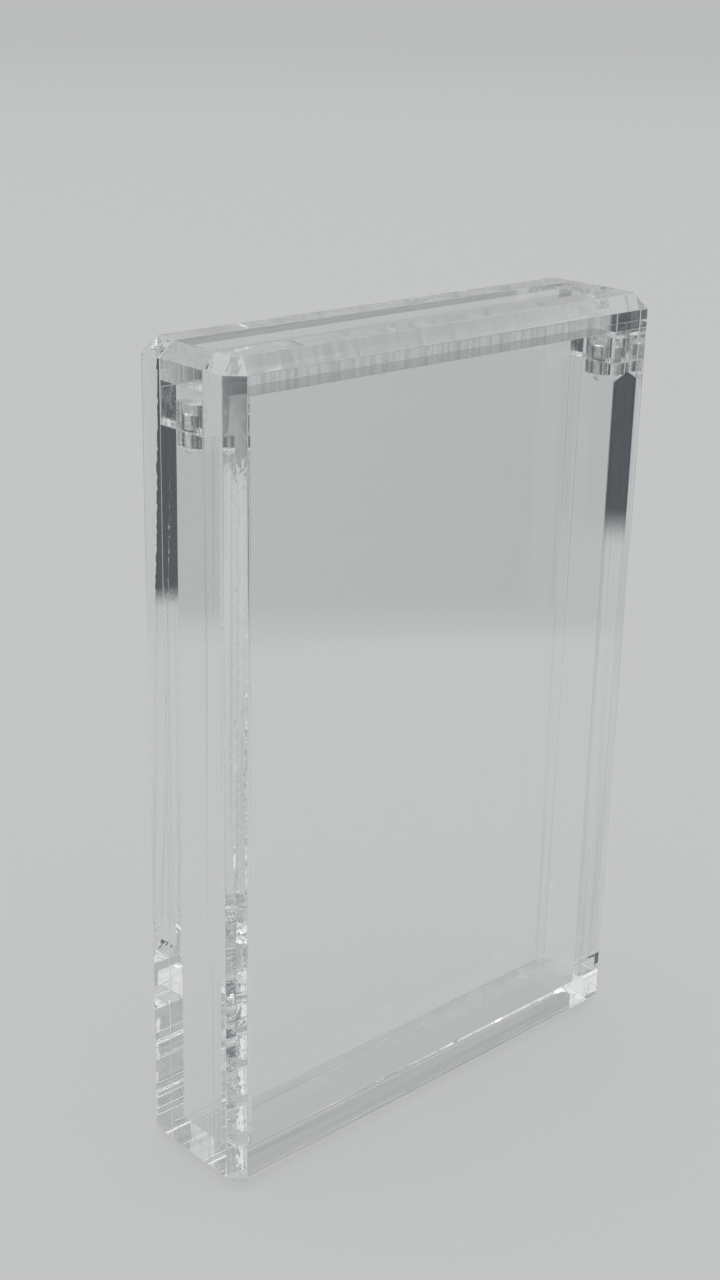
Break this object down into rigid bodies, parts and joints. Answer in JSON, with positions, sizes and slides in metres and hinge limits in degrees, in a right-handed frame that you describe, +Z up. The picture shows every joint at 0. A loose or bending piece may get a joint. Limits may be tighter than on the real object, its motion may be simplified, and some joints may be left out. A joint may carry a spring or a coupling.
{
  "type": "trading card display case",
  "caption": "Clear acrylic display case for a graded trading card: thick bevelled panels either side of a narrow slot, closed at the top by a magnetic lift-off lid.",
  "frame": {"origin": "centre of the footprint, on the surface the case stands on", "axes": "+X across the width, +Y from the front panel to the back panel, +Z up, the way the lid lifts"},
  "size_m": [0.1106, 0.0286, 0.165],
  "materials": {
    "polished_acrylic": "clear cast acrylic, polished faces and bevels",
    "sawn_acrylic": "clear cast acrylic bar, fine saw and cutter lines on its cut faces",
    "nickel_plate": "bright nickel plating"
  },
  "bodies": {
    "case": {"front_panel": "polished_acrylic", "back_panel": "polished_acrylic", "base_bar": "sawn_acrylic", "left_wall": "sawn_acrylic", "right_wall": "sawn_acrylic", "left_wall_magnet": "nickel_plate", "right_wall_magnet": "nickel_plate"},
    "lid": {"lid_bar": "sawn_acrylic", "left_lid_foot": "sawn_acrylic", "right_lid_foot": "sawn_acrylic", "left_lid_magnet": "nickel_plate", "right_lid_magnet": "nickel_plate"}
  },
  "joints": [
    {"name": "lid_lift", "type": "slide", "parent": "case", "child": "lid", "axis": [0, 0, 1], "range_m": [0, 0.04]}
  ]
}
